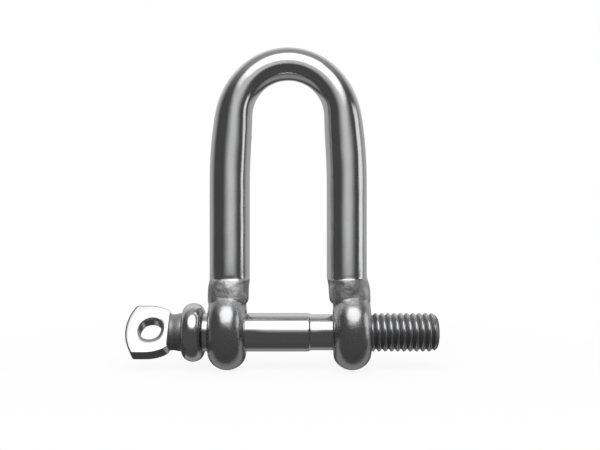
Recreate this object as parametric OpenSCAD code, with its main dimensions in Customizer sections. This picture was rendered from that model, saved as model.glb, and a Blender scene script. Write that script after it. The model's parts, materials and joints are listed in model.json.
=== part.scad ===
// Long D shackle with a screw pin, in polished stainless steel.
// The origin is on the pin's axis, midway between the legs.
// +X runs along the pin to its threaded end, and +Z runs up the legs to the crown.

/* [Bow] */
// Diameter of the bar in the legs
bar_d = 8; // [6:0.1:10]
// Thickness of the bar at the top of the crown, in the plane of the bow
crown_t = 6.5; // [5:0.1:8]
// Thickness of the bar where the bend starts, in the plane of the bow
bend_t = 7.5; // [6:0.1:9]
// Clear width between the legs, near the eyes
inside_w = 15.4; // [13:0.1:20]
// Clear width between the legs where the bend starts
crown_w = 14.4; // [12:0.1:20]
// Clear length from the pin to the crown
inside_len = 46.6; // [36:0.2:70]
// Length of leg over which the bar thins towards the bend
thinning_len = 13; // [6:0.5:16]

/* [Eyes] */
// Outside diameter of both eyes
eye_d = 15.9; // [13:0.1:18]
// How far the eyes' rims are centred above the pin's axis
eye_rise = 0.5; // [0:0.05:1]
// Thickness of both eyes along the pin
eye_t = 7.5; // [6:0.1:9]
// Width of the land left between the roundings of each eye's rim
rim_land = 0.3; // [0.1:0.1:3]
// How far the plain eye sits outwards from its leg
plain_eye_out = 0.45; // [0:0.05:1]
// How far the threaded eye sits outwards from its leg
threaded_eye_out = 1; // [0:0.05:1.5]
// Length of the forged shoulder, from the eye's rim up its leg
shoulder_len = 2.55; // [1.5:0.05:6]
// Height of the step by which the shoulder stands proud of the bar, in front and behind
shoulder_step = 0.4; // [0:0.05:0.8]
// Length of that step along the leg
shoulder_step_len = 0.7; // [0.4:0.1:1.2]
// Depth to which the leg's foot is buried in the eye's wall
foot_cover = 1; // [0.4:0.05:1.2]
// Depth to which the sides of that foot lie inside the eye's faces
foot_inset = 0.15; // [0.1:0.05:0.6]
// Chamfer at both mouths of each bore
bore_chamfer = 0.4; // [0.2:0.05:0.6]

/* [Pin] */
// Diameter of the shank
shank_d = 7.6; // [6:0.05:8]
// Diameter of the relieved stretch in front of the thread
relief_d = 7.1; // [5.5:0.05:7.5]
// Diameter over the crests of the thread
thread_d = 7.6; // [6:0.05:8]
// Length of the relieved stretch that shows between the eyes
relief_len = 4.6; // [2:0.1:7]
// How far inside the threaded eye the thread starts
thread_inset = 0.5; // [0.2:0.1:2]
// Length of thread that stands out of the threaded eye
thread_out = 13.4; // [8:0.1:20]
// Pitch of the thread
thread_pitch = 1.25; // [0.8:0.05:1.5]
// Depth of the thread
thread_depth = 0.55; // [0.3:0.05:0.7]
// Width of the thread's crests and roots
thread_flat = 0.2; // [0.1:0.05:0.3]
// Rounding of the pin's tip
tip_round = 1.5; // [0.5:0.1:3]
// Radial clearance of the pin in both eyes
pin_clearance = 0.1; // [0.05:0.01:0.1]
// Bevel where the shank changes diameter
step_bevel = 0.25; // [0.1:0.05:0.5]

/* [Collar] */
// Outside diameter of the collar
collar_d = 11.6; // [10:0.1:14]
// Width of the collar along the pin
collar_w = 4.35; // [3:0.05:6]
// Gap left between the collar and the plain eye
collar_gap = 0.85; // [0.8:0.05:4]
// Radial clearance of the collar on the shank
collar_clearance = 0.05; // [0.02:0.01:0.1]

/* [Head] */
// Diameter of the neck between the collar and the head
neck_d = 7; // [6:0.1:7.5]
// Length of the neck
neck_len = 2.5; // [1:0.05:5]
// Length of the flat head
head_len = 8.75; // [8:0.05:14]
// Width of the flat head
head_w = 10.5; // [8:0.1:13]
// Thickness of the flat head
head_t = 3.1; // [2:0.1:5]
// Radius of the bow of the head's far edge
head_bow_r = 9; // [6:0.5:20]
// Rounding of the head's far corners
head_far_round = 1.5; // [0.5:0.1:2.5]
// Length over which the head's sides curve in to the neck
head_curve_len = 4; // [2:0.1:5]
// Length over which the neck thins to the head's thickness
neck_taper = 0.8; // [0.4:0.1:2]
// Angle by which the head's upper edge leans back
head_lean = 36; // [0:1:90]
// Diameter of the hole in the head
hole_d = 4.4; // [3:0.1:5]
// Distance from the hole's centre to the head's far edge
hole_from_end = 4.9; // [4:0.05:6]
// Chamfer at both mouths of the hole
hole_chamfer = 0.5; // [0.2:0.05:0.8]

/* [Hidden] */

// Sides of the bar's rings, and rings along each stretch of the bow
bar_sides = 24;
bend_rings = 24;
thinning_rings = 5;
shoulder_rings = 5;
step_rings = 3;
$fn = 96;
// Overrun of a cut past the face that it starts from
overrun = 1;
// Depth to which the head's root runs into the neck
head_root = 1;

// Bow
bend_r = crown_w / 2;
crown_z = shank_d / 2 + inside_len;
bend_z = crown_z - bend_r;
thinning_z = bend_z - thinning_len;
leg_x = inside_w / 2 + bar_d / 2;

// Eyes and their bores, with -1 for the plain side and 1 for the threaded side
function eye_out(side) = side < 0 ? plain_eye_out : threaded_eye_out;
function eye_x(side) = side * (leg_x + eye_out(side));
function bore_r(side) = (side < 0 ? shank_d : thread_d) / 2 + pin_clearance;

// Shoulders, from the step on the leg down to the foot inside the eye
shoulder_z = eye_rise + eye_d / 2 + shoulder_len;
step_z = shoulder_z - shoulder_step_len;
foot_z = max(bore_r(-1), bore_r(1)) + foot_cover;
foot_half_w = sqrt(pow(eye_d / 2 - foot_cover, 2) - pow(foot_z - eye_rise, 2));

// Places along the pin
step_x = eye_x(1) - eye_t / 2 - relief_len;
thread_x = eye_x(1) - eye_t / 2 + thread_inset;
tip_x = eye_x(1) + eye_t / 2 + thread_out;
collar_x = eye_x(-1) - eye_t / 2 - collar_gap - collar_w / 2;
neck_x = collar_x - collar_w / 2;
head_x = neck_x - neck_len;
head_end_x = head_x - head_len;
hole_x = head_end_x + hole_from_end;

// Rises smoothly from 0 to 1 as x does, and stays flat outside that
function ease(x) = let (t = min(max(x, 0), 1)) t * t * (3 - 2 * t);
function blend(a, b, t) = a + (b - a) * t;

// One ring of the bar: an ellipse about (x, z) with its first axis along (nx, nz) in the plane of the bow
function ring(x, z, nx, nz, half_t, half_w) = [
    for (k = [0:bar_sides - 1])
        let (a = 360 * k / bar_sides)
            [x + nx * half_t * cos(a), half_w * sin(a), z + nz * half_t * cos(a)]
];

// A ring of the bend, at an angle from the right-hand leg
function bend_ring(angle) =
    let (
        t = crown_t + (bend_t - crown_t) * pow(1 - sin(angle), 2),
        r = bend_r + t / 2
    )
    ring(r * cos(angle), bend_z + r * sin(angle), cos(angle), sin(angle), t / 2, bar_d / 2);

// A ring of a leg at height z, with the leg's thinning and its shoulder
function leg_ring(side, z) =
    let (
        thin = max(z - thinning_z, 0) / thinning_len,
        inner = blend(inside_w / 2, bend_r, ease(thin)),
        outer = blend(inside_w / 2 + bar_d, bend_r + bend_t, thin * thin),
        flare = ease((shoulder_z - z) / (shoulder_z - foot_z)),
        half_t = blend((outer - inner) / 2, eye_t / 2 - foot_inset, flare),
        proud_w = bar_d / 2 + shoulder_step * ease((shoulder_z - z) / shoulder_step_len),
        half_w = blend(proud_w, foot_half_w, max(step_z - z, 0) / (step_z - foot_z))
    )
    ring(side * ((outer + inner) / 2 + eye_out(side) * flare), z, side, 0, half_t, half_w);

// Heights of a leg's rings, from its foot to just under the bend
leg_heights = concat(
    [for (i = [0:shoulder_rings - 1]) blend(foot_z, step_z, i / shoulder_rings)],
    [for (i = [0:step_rings]) blend(step_z, shoulder_z, i / step_rings)],
    [for (i = [0:thinning_rings - 1]) blend(thinning_z, bend_z, i / thinning_rings)]
);
last_height = len(leg_heights) - 1;

// The bow's rings in order, up the left-hand leg, over the crown and down the right-hand leg
bow_rings = concat(
    [for (i = [0:last_height]) leg_ring(-1, leg_heights[i])],
    [for (i = [0:bend_rings]) bend_ring(180 - 180 * i / bend_rings)],
    [for (i = [last_height:-1:0]) leg_ring(1, leg_heights[i])]
);

// A closed skin over a row of rings that all have the same number of points
module loft(rings) {
    n = len(rings[0]);
    last = len(rings) - 1;
    points = [for (r = rings) for (p = r) p];
    walls = [
        for (i = [0:last - 1])
            for (k = [0:n - 1])
                let (a = i * n + k, b = i * n + (k + 1) % n)
                    each [[a, b, a + n], [b, b + n, a + n]]
    ];
    first_cap = [for (k = [n - 1:-1:0]) k];
    last_cap = [for (k = [0:n - 1]) last * n + k];
    polyhedron(points, concat(walls, [first_cap, last_cap]));
}

// Turns a shape's own Z axis onto the pin's axis
module along_pin() {
    rotate([0, 90, 0]) children();
}

// Half section of an eye: a disc whose rim is rounded from both faces
module eye_section() {
    r = eye_d / 2;
    rim_round = (eye_t - rim_land) / 2;
    translate([0, -eye_t / 2]) square([r - rim_round, eye_t]);
    translate([0, -rim_land / 2]) square([r, rim_land]);
    for (way = [-1, 1]) translate([r - rim_round, way * rim_land / 2]) circle(rim_round);
}

module eye_blank(side) {
    translate([eye_x(side), 0, eye_rise]) along_pin() rotate_extrude() intersection() {
        eye_section();
        translate([0, -eye_t]) square([eye_d, 2 * eye_t]);
    }
}

// A through bore in an eye, with a chamfer at each mouth
module eye_bore(side) {
    r = bore_r(side);
    translate([eye_x(side), 0, 0]) along_pin() {
        cylinder(h = eye_t + 2 * overrun, r = r, center = true);
        for (turn = [0, 180])
            rotate([turn, 0, 0])
                translate([0, 0, eye_t / 2 - bore_chamfer])
                    cylinder(h = 2 * bore_chamfer, r1 = r, r2 = r + 2 * bore_chamfer);
    }
}

// The forged bow with its two eyes, the left one plain and the right one threaded
module shackle_body() {
    color("lightsteelblue") difference() {
        union() {
            loft(bow_rings);
            for (side = [-1, 1]) eye_blank(side);
        }
        for (side = [-1, 1]) eye_bore(side);
    }
}

// The rounded bead that stops the pin against the plain eye
module pin_collar() {
    bead_r = collar_w / 2;
    bore_r = shank_d / 2 + collar_clearance;
    color("silver") translate([collar_x, 0, 0]) along_pin() rotate_extrude() intersection() {
        translate([collar_d / 2 - bead_r, 0]) circle(bead_r);
        translate([bore_r, -collar_w]) square([collar_d, 2 * collar_w]);
    }
}

// Half section of the pin's round length, as radius and place along the pin, with its thread as ridges
module pin_section() {
    shank_r = shank_d / 2;
    relief_r = relief_d / 2;
    thread_r = thread_d / 2;
    root_r = thread_r - thread_depth;
    ridge_x = thread_x + step_bevel;
    round_x = tip_x - tip_round;
    grooves = floor((round_x - ridge_x) / thread_pitch);
    polygon(concat(
        [
            [0, head_x],
            [neck_d / 2, head_x],
            [neck_d / 2, neck_x],
            [shank_r, neck_x],
            [shank_r, step_x - step_bevel],
            [relief_r, step_x],
            [relief_r, thread_x]
        ],
        [
            for (i = [0:grooves - 1])
                let (middle_x = ridge_x + (i + 0.5) * thread_pitch)
                    each [
                        [thread_r, middle_x - thread_pitch / 2 + thread_flat / 2],
                        [root_r, middle_x - thread_flat / 2],
                        [root_r, middle_x + thread_flat / 2],
                        [thread_r, middle_x + thread_pitch / 2 - thread_flat / 2]
                    ]
        ],
        [
            [thread_r, round_x],
            [0, round_x]
        ]
    ));
    translate([0, round_x]) square([thread_r - tip_round, tip_round]);
    intersection() {
        translate([thread_r - tip_round, round_x]) circle(tip_round);
        translate([thread_r - tip_round, round_x]) square(tip_round);
    }
}

// Outline of the flat head: a plate with rounded corners and a bowed far edge
module head_outline() {
    far_x = head_end_x + head_far_round;
    curve_x = head_x - head_curve_len;
    half_w = head_w / 2;
    drop = half_w - neck_d / 2;
    curve_r = (head_curve_len * head_curve_len + drop * drop) / (2 * drop);
    intersection() {
        union() {
            translate([far_x, -half_w]) square([curve_x - far_x, head_w]);
            translate([head_end_x, head_far_round - half_w])
                square([head_far_round, head_w - 2 * head_far_round]);
            for (side = [-1, 1])
                translate([far_x, side * (half_w - head_far_round)]) circle(head_far_round);
            intersection() {
                translate([curve_x, -half_w]) square([head_curve_len + head_root, head_w]);
                translate([curve_x, curve_r - half_w]) circle(curve_r);
                translate([curve_x, half_w - curve_r]) circle(curve_r);
            }
        }
        translate([head_end_x + head_bow_r, 0]) circle(head_bow_r);
    }
}

// The hole through the head, with a chamfer at each mouth
module head_hole() {
    translate([hole_x, 0, 0]) {
        cylinder(h = head_t + 2 * overrun, d = hole_d, center = true);
        for (turn = [0, 180])
            rotate([turn, 0, 0])
                translate([0, 0, head_t / 2 - hole_chamfer])
                    cylinder(
                        h = 2 * hole_chamfer,
                        r1 = hole_d / 2,
                        r2 = hole_d / 2 + 2 * hole_chamfer
                    );
    }
}

// The screw pin: flat head, neck, shank, relief and thread in one piece
module screw_pin() {
    color("gainsboro") difference() {
        union() {
            along_pin() rotate_extrude() pin_section();
            translate([head_x, 0, 0])
                rotate([0, -90, 0])
                    cylinder(h = neck_taper, r1 = neck_d / 2, r2 = head_t / 2);
            rotate([90 - head_lean, 0, 0])
                linear_extrude(head_t, center = true) head_outline();
        }
        rotate([90 - head_lean, 0, 0]) head_hole();
    }
}

shackle_body();
pin_collar();
screw_pin();
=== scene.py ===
"""A long D shackle with a screw pin, in polished stainless steel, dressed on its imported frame."""

import json
import logging
import math
from collections.abc import Callable
from dataclasses import dataclass, replace
from enum import Enum
from functools import cached_property
from typing import ClassVar

import bmesh
import bpy
from bmesh.types import BMEdge, BMesh, BMVert
from bpy.types import Material, NodeSocket, NodeTree, Object
from mathutils import Matrix, Vector, noise


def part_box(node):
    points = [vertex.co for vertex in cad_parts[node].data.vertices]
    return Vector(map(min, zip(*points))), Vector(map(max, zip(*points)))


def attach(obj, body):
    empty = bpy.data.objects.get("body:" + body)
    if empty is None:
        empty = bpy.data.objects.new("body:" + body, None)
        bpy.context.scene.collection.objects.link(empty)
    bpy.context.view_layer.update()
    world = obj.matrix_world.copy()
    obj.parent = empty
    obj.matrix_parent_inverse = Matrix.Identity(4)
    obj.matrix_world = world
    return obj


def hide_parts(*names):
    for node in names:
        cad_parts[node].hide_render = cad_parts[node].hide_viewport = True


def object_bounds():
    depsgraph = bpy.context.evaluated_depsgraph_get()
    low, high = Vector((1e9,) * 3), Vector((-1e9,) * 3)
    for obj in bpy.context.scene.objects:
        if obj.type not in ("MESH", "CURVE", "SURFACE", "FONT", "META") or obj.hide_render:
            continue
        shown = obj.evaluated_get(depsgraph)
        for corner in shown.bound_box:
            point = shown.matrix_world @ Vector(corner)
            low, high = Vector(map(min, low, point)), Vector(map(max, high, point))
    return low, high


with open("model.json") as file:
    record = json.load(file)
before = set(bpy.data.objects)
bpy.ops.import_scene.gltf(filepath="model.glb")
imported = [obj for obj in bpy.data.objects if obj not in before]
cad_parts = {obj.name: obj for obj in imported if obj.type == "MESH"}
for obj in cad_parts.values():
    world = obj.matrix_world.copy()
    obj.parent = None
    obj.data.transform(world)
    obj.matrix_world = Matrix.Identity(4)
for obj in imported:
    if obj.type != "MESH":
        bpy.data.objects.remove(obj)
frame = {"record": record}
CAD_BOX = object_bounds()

MM = 0.001
LOG = logging.getLogger("shackle")

Colour = tuple[float, float, float]
Axes = tuple[float, float, float]
Point = tuple[float, float]

WHITE: Colour = (1.0, 1.0, 1.0)
# The dark tone of the shoulders' random patches, and of the painted shade on the eyes, the threaded
# shoulder's ledge and the pin's neck.
SKIN_AND_SHADE_TONE: Colour = (0.2, 0.2, 0.205)
THREAD_CREASE = math.radians(38.0)
COLLAR_CREASE = math.radians(50.0)
ROUND_POWER = 2.0


class Slot(Enum):
    """The record's material slots."""

    BOW = "bow_steel"
    PIN = "pin_steel"


class Side(Enum):
    """The two legs of the bow, by the sign of their place along the pin."""

    PLAIN = -1
    THREADED = 1


@dataclass(frozen=True)
class Seat:
    """Where a piece belongs: the body it rides on, the node it stands for and its slot."""

    body: str
    node: str
    slot: Slot


BOW_SEAT = Seat("bow", "shackle_body", Slot.BOW)
COLLAR_SEAT = Seat("collar", "pin_collar", Slot.PIN)
PIN_SEAT = Seat("pin", "screw_pin", Slot.PIN)


def mount(name: str) -> dict:
    """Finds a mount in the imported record.

    Args:
        name: The mount's name.

    Returns:
        The mount as the record holds it.
    """
    return next(m for m in frame["record"]["mounts"] if m["name"] == name)


def screw_pitch() -> float:
    """The pin's travel in one turn, from the coupling of its two joints."""
    coupling = frame["record"]["behaviour"]["couplings"][0]
    return coupling["ratio"] * math.tau


def opaque(colour: Colour) -> tuple[float, float, float, float]:
    """A colour as a socket takes it, with its alpha."""
    return (*colour, 1.0)


def ease(share: float) -> float:
    """Rises smoothly from 0 to 1 as share does, and stays flat outside that."""
    held = min(max(share, 0.0), 1.0)
    return held * held * (3 - 2 * held)


def mix(start: float, end: float, share: float) -> float:
    """The value that lies a share of the way from start to end."""
    return start + (end - start) * share


def cage_radius(radius: float, sides: int) -> float:
    """Widens a cage ring so that its subdivided curve comes out at the radius asked for.

    Args:
        radius: The radius of the finished curve.
        sides: The number of sides of the cage ring.

    Returns:
        The radius of the cage ring's corners.
    """
    return radius * 6 / (4 + 2 * math.cos(math.tau / sides))


def circle_ring(mesh: BMesh, sides: int, matrix: Matrix) -> list[BMEdge]:
    """Adds an open ring, as a unit circle in the XY plane carried by a matrix.

    Args:
        mesh: The mesh to add it to.
        sides: The number of its sides.
        matrix: Its size and place.

    Returns:
        The ring's edges.
    """
    made = bmesh.ops.create_circle(mesh, segments=sides, radius=1.0, matrix=matrix)
    return list(dict.fromkeys(edge for vert in made["verts"] for edge in vert.link_edges))


def edge_middle(edge: BMEdge) -> Vector:
    """The point halfway along an edge."""
    return (edge.verts[0].co + edge.verts[1].co) / 2


def open_edges(mesh: BMesh) -> list[BMEdge]:
    """The edges where a mesh is still open."""
    return [edge for edge in mesh.edges if edge.is_boundary]


def verts_among(items: list) -> list[BMVert]:
    """The vertices among what an operator made."""
    return [item for item in items if isinstance(item, BMVert)]


def whole(mesh: BMesh) -> list:
    """Everything in a mesh, as operators take it."""
    return mesh.verts[:] + mesh.edges[:] + mesh.faces[:]


def grown_ring(mesh: BMesh, ring: list[BMEdge], move: Callable[[Vector], Vector]) -> list[BMEdge]:
    """Extrudes an open ring of edges and moves the new ring.

    Args:
        mesh: The mesh that holds the ring.
        ring: The ring's edges.
        move: Gives a new point from an old one.

    Returns:
        The new ring's edges.
    """
    grown = bmesh.ops.extrude_edge_only(mesh, edges=ring)["geom"]
    verts = set(verts_among(grown))
    for vert in verts:
        vert.co = move(vert.co)
    edges = [item for item in grown if isinstance(item, BMEdge)]
    return [edge for edge in edges if verts.issuperset(edge.verts)]


def half_section(mesh: BMesh, points: list[Point], closed: bool) -> list:
    """Draws a half section as a chain of edges, to be spun about the pin's axis.

    Args:
        mesh: The mesh to draw in.
        points: Pairs of place along X and radius.
        closed: Whether the last point joins the first.

    Returns:
        The chain's vertices and edges.
    """
    verts = [mesh.verts.new((x, 0.0, radius)) for x, radius in points]
    pairs = list(zip(verts, verts[1:]))
    if closed:
        pairs.append((verts[-1], verts[0]))
    return verts + [mesh.edges.new(pair) for pair in pairs]


def spun(mesh: BMesh, chain: list, steps: int, pitch: float = 0.0) -> None:
    """Spins a chain right round the pin's axis, into a ring or, with a pitch, one turn of a helix.

    Args:
        mesh: The mesh that holds the chain.
        chain: The chain's vertices and edges.
        steps: The number of steps in the turn.
        pitch: How far the chain moves along the axis in the turn.
    """
    bmesh.ops.spin(
        mesh,
        geom=chain,
        cent=(0.0, 0.0, 0.0),
        axis=(1.0, 0.0, 0.0),
        dvec=(pitch / steps, 0.0, 0.0),
        angle=math.tau,
        steps=steps,
        use_merge=pitch == 0.0,
    )


def radial(place: Vector, radius: float) -> Vector:
    """Moves a point straight out from the pin's axis to a radius."""
    scale = radius / math.hypot(place.y, place.z)
    return Vector((place.x, place.y * scale, place.z * scale))


def new_object(name: str, mesh: BMesh, material: Material) -> Object:
    """Turns a bmesh into a smooth object in the scene.

    Args:
        name: The object's name.
        mesh: The bmesh, which is used up.
        material: The object's finish.

    Returns:
        The new object.
    """
    data = bpy.data.meshes.new(name)
    mesh.to_mesh(data)
    mesh.free()
    data.shade_smooth()
    data.materials.append(material)
    thing = bpy.data.objects.new(name, data)
    bpy.context.scene.collection.objects.link(thing)
    return thing


def finish_piece(
    name: str,
    mesh: BMesh,
    seat: Seat,
    material: Material,
    levels: int = 0,
    sharp: float | None = None,
) -> None:
    """Turns a bmesh into a shown piece that rides on its body.

    Args:
        name: The piece's name.
        mesh: The bmesh, which is used up.
        seat: Where the piece belongs.
        material: The piece's finish.
        levels: Levels of subdivision left as a modifier.
        sharp: The angle past which an edge shows as a crease, if any does.
    """
    bmesh.ops.recalc_face_normals(mesh, faces=mesh.faces)
    piece = new_object(name, mesh, material)
    if sharp is not None:
        piece.data.set_sharp_from_angle(angle=sharp)
    if levels:
        smooth = piece.modifiers.new("smooth", "SUBSURF")
        smooth.levels = levels
        smooth.render_levels = levels
    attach(piece, seat.body)
    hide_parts(seat.node)
    LOG.info("%s rides on %s with %d faces", name, seat.body, len(piece.data.polygons))


class Sheet:
    """A node tree with short calls to add nodes and join them."""

    def __init__(self, tree: NodeTree) -> None:
        """Takes over a node tree and empties it."""
        self.tree = tree
        self.tree.nodes.clear()

    def add(self, kind: str, inputs: dict | None = None, **settings: object) -> bpy.types.Node:
        """Adds a node.

        Args:
            kind: The node's type.
            inputs: Values or sockets for its inputs, by name or number.
            settings: Properties of the node, set before its inputs.

        Returns:
            The new node.
        """
        node = self.tree.nodes.new(kind)
        for name, value in settings.items():
            setattr(node, name, value)
        for key, value in (inputs or {}).items():
            self._feed(node.inputs[key], value)
        return node

    def _feed(self, socket: NodeSocket, value: object) -> None:
        """Joins an input to another node's output, or gives it a plain value.

        Args:
            socket: The input.
            value: The output or the value.
        """
        if isinstance(value, NodeSocket):
            self.tree.links.new(value, socket)
        else:
            socket.default_value = value

    @cached_property
    def place(self) -> NodeSocket:
        """The object coordinates, from one node that is added when they are first asked for."""
        return self.add("ShaderNodeTexCoord").outputs["Object"]

    def axes(self, place: NodeSocket) -> bpy.types.NodeOutputs:
        """Splits a place into its X, Y and Z."""
        return self.add("ShaderNodeSeparateXYZ", {0: place}).outputs

    def math(self, operation: str, *values: object) -> NodeSocket:
        """Adds a Math node and gives its result."""
        return self.add("ShaderNodeMath", dict(enumerate(values)), operation=operation).outputs[0]

    def noise(self, place: NodeSocket, size: object, detail: float) -> NodeSocket:
        """Adds a noise texture and gives its value."""
        inputs = {"Vector": place, "Scale": size, "Detail": detail}
        return self.add("ShaderNodeTexNoise", inputs).outputs[0]

    def rise(self, value: NodeSocket, start: float, end: float, top: float = 1.0) -> NodeSocket:
        """Adds a smooth rise.

        Args:
            value: What is measured.
            start: Where the rise starts, from 0.
            end: Where it is over.
            top: The height that it reaches.

        Returns:
            The height.
        """
        inputs = {0: value, 1: start, 2: end, 3: 0.0, 4: top}
        kind = "ShaderNodeMapRange"
        return self.add(kind, inputs, interpolation_type="SMOOTHSTEP").outputs[0]

    def fall(self, value: NodeSocket, start: float, end: float) -> NodeSocket:
        """Adds a smooth fall from 1 at start to 0 at end."""
        return self.math("SUBTRACT", 1.0, self.rise(value, start, end))

    def blend(self, share: NodeSocket, first: object, second: object) -> NodeSocket:
        """Adds a mix of two colours.

        Args:
            share: The second colour's share.
            first: The first colour, as a value or a socket.
            second: The second colour, as a value or a socket.

        Returns:
            The mixed colour.
        """
        node = self.add("ShaderNodeMix", data_type="RGBA")
        for key, value in {"Factor": share, "A": first, "B": second}.items():
            self._feed(next(s for s in node.inputs if s.name == key and s.enabled), value)
        return next(s for s in node.outputs if s.enabled)

    def glow(self, strength: object) -> NodeSocket:
        """Adds a white glow and gives its shader."""
        inputs = {"Color": opaque(WHITE), "Strength": strength}
        return self.add("ShaderNodeEmission", inputs).outputs[0]

    def shaders(self, share: NodeSocket, first: NodeSocket, second: NodeSocket) -> NodeSocket:
        """Adds a mix of two shaders and gives the result."""
        return self.add("ShaderNodeMixShader", {0: share, 1: first, 2: second}).outputs[0]

    def faded(self, shader: NodeSocket, share: NodeSocket) -> NodeSocket:
        """Adds a fade of a shader to clear, by a share, and gives the result."""
        return self.shaders(share, shader, self.add("ShaderNodeBsdfTransparent").outputs[0])

    def surface(self, shader: NodeSocket) -> None:
        """Ends a material's sheet with its shader."""
        self.add("ShaderNodeOutputMaterial", {"Surface": shader})

    def vector(self, operation: str, *values: object) -> bpy.types.NodeOutputs:
        """Adds a Vector Math node and gives its outputs."""
        return self.add("ShaderNodeVectorMath", dict(enumerate(values)), operation=operation).outputs

    def hypot(self, first: NodeSocket, second: NodeSocket) -> NodeSocket:
        """Adds the length of two parts at right angles."""
        square = self.math("MULTIPLY_ADD", first, first, self.math("MULTIPLY", second, second))
        return self.math("SQRT", square)

    def both(self, first: NodeSocket, second: NodeSocket) -> NodeSocket:
        """Adds a mask that is full only where two others are."""
        return self.math("MULTIPLY", first, second)

    def near(self, value: NodeSocket, middle: float, start: float, end: float) -> NodeSocket:
        """Adds a mask that falls off between two distances on both sides of a middle."""
        off = self.math("ABSOLUTE", self.math("SUBTRACT", value, middle))
        return self.fall(off, start, end)


def new_material(name: str) -> tuple[Material, Sheet]:
    """Starts a material.

    Args:
        name: The material's name.

    Returns:
        The material and its empty sheet.
    """
    material = bpy.data.materials.new(name)
    material.use_nodes = True
    return material, Sheet(material.node_tree)


FLOAT = "NodeSocketFloat"
VECTOR = "NodeSocketVector"
COLOUR = "NodeSocketColor"


def new_group(name: str, inputs: dict[str, str], output: tuple[str, str]) -> Sheet:
    """Starts a shader node group.

    Args:
        name: The group's name.
        inputs: The kind of each input socket, by name.
        output: The output socket's name and kind.

    Returns:
        The group's empty sheet.
    """
    tree = bpy.data.node_groups.new(name, "ShaderNodeTree")
    for label, kind in inputs.items():
        tree.interface.new_socket(name=label, in_out="INPUT", socket_type=kind)
    tree.interface.new_socket(name=output[0], in_out="OUTPUT", socket_type=output[1])
    return Sheet(tree)


class Effects:
    """The shader node groups that the finishes share."""

    def __init__(self) -> None:
        """Builds each group once."""
        self.haze = self._polish_haze()
        self.ripple = self._polish_ripple()
        self.tone = self._steel_tone()

    @staticmethod
    def _polish_haze() -> NodeTree:
        """Roughness that drifts between a clear polish and a hazy one.

        Returns:
            The node group that puts out the roughness.
        """
        inputs = {"Vector": VECTOR, "Size": FLOAT, "Clear": FLOAT, "Hazy": FLOAT}
        sheet = new_group("polish_haze", inputs, ("Roughness", FLOAT))
        given = sheet.add("NodeGroupInput").outputs
        finer = 11.0
        grit_share = 0.4
        low, high = 0.35, 0.65
        cloud = sheet.noise(given["Vector"], given["Size"], detail=4.0)
        grit = sheet.noise(given["Vector"], sheet.math("MULTIPLY", given["Size"], finer), detail=2.0)
        cloud = sheet.math("MULTIPLY", cloud, 1.0 - grit_share)
        share = sheet.math("MULTIPLY_ADD", grit, grit_share, cloud)
        limits = {0: share, 1: low, 2: high, 3: given["Clear"], 4: given["Hazy"]}
        rough = sheet.add("ShaderNodeMapRange", limits)
        sheet.add("NodeGroupOutput", {"Roughness": rough.outputs[0]})
        return sheet.tree

    @staticmethod
    def _polish_ripple() -> NodeTree:
        """Height of the slow ripple that hand polishing leaves, with fine buffing lines on it.

        Returns:
            The node group that puts out the height.
        """
        inputs = {"Vector": VECTOR, "Ripple Size": FLOAT, "Line Size": FLOAT, "Lines": FLOAT}
        sheet = new_group("polish_ripple", inputs, ("Height", FLOAT))
        given = sheet.add("NodeGroupInput").outputs
        ripple = sheet.noise(given["Vector"], given["Ripple Size"], detail=1.0)
        lines = sheet.noise(given["Vector"], given["Line Size"], detail=3.0)
        height = sheet.math("MULTIPLY_ADD", lines, given["Lines"], ripple)
        sheet.add("NodeGroupOutput", {"Height": height})
        return sheet.tree

    @staticmethod
    def _steel_tone() -> NodeTree:
        """Colour that drifts between a pale and a deep tone of the same steel.

        Returns:
            The node group that puts out the colour.
        """
        inputs = {"Vector": VECTOR, "Size": FLOAT, "Pale": COLOUR, "Deep": COLOUR}
        sheet = new_group("steel_tone", inputs, ("Color", COLOUR))
        given = sheet.add("NodeGroupInput").outputs
        cloud = sheet.noise(given["Vector"], given["Size"], detail=3.0)
        tone = sheet.blend(cloud, given["Pale"], given["Deep"])
        sheet.add("NodeGroupOutput", {"Color": tone})
        return sheet.tree


@dataclass(frozen=True)
class Steel:
    """One finish of stainless steel, built on the shared effects."""

    name: str
    pale: Colour
    deep: Colour
    clear: float
    hazy: float
    cloud_size: float
    ripple_size: float
    ripple_height: float
    line_stretch: Axes
    line_size: float
    lines: float

    def material(self, effects: Effects) -> Material:
        """Builds the finish as a material.

        Args:
            effects: The shared node groups.

        Returns:
            The new material.
        """
        material, sheet = new_material(self.name)
        cloud = {"Vector": sheet.place, "Size": self.cloud_size}
        tone = {**cloud, "Pale": opaque(self.pale), "Deep": opaque(self.deep)}
        haze = {**cloud, "Clear": self.clear, "Hazy": self.hazy}
        stretch = {"Vector": sheet.place, "Scale": self.line_stretch}
        stretched = sheet.add("ShaderNodeMapping", stretch)
        ripple = {
            "Vector": stretched.outputs[0],
            "Ripple Size": self.ripple_size,
            "Line Size": self.line_size,
            "Lines": self.lines,
        }
        group = "ShaderNodeGroup"
        colour = sheet.add(group, tone, node_tree=effects.tone).outputs[0]
        rough = sheet.add(group, haze, node_tree=effects.haze).outputs[0]
        height = sheet.add(group, ripple, node_tree=effects.ripple).outputs[0]
        bump = {
            "Strength": 1.0,
            "Distance": self.ripple_height,
            "Height": self._height(sheet, height),
        }
        shader = {
            "Base Color": self._colour(sheet, colour),
            "Metallic": 1.0,
            "Roughness": self._roughness(sheet, rough),
            "Normal": sheet.add("ShaderNodeBump", bump).outputs[0],
        }
        sheet.surface(sheet.add("ShaderNodeBsdfPrincipled", shader).outputs[0])
        return material

    def _colour(self, sheet: Sheet, colour: NodeSocket) -> NodeSocket:
        """The steel's colour, as the shared tone gives it."""
        return colour

    def _roughness(self, sheet: Sheet, rough: NodeSocket) -> NodeSocket:
        """The steel's roughness, as the shared haze gives it."""
        return rough

    def _height(self, sheet: Sheet, height: NodeSocket) -> NodeSocket:
        """The steel's relief, as the shared ripple gives it."""
        return height


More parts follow.
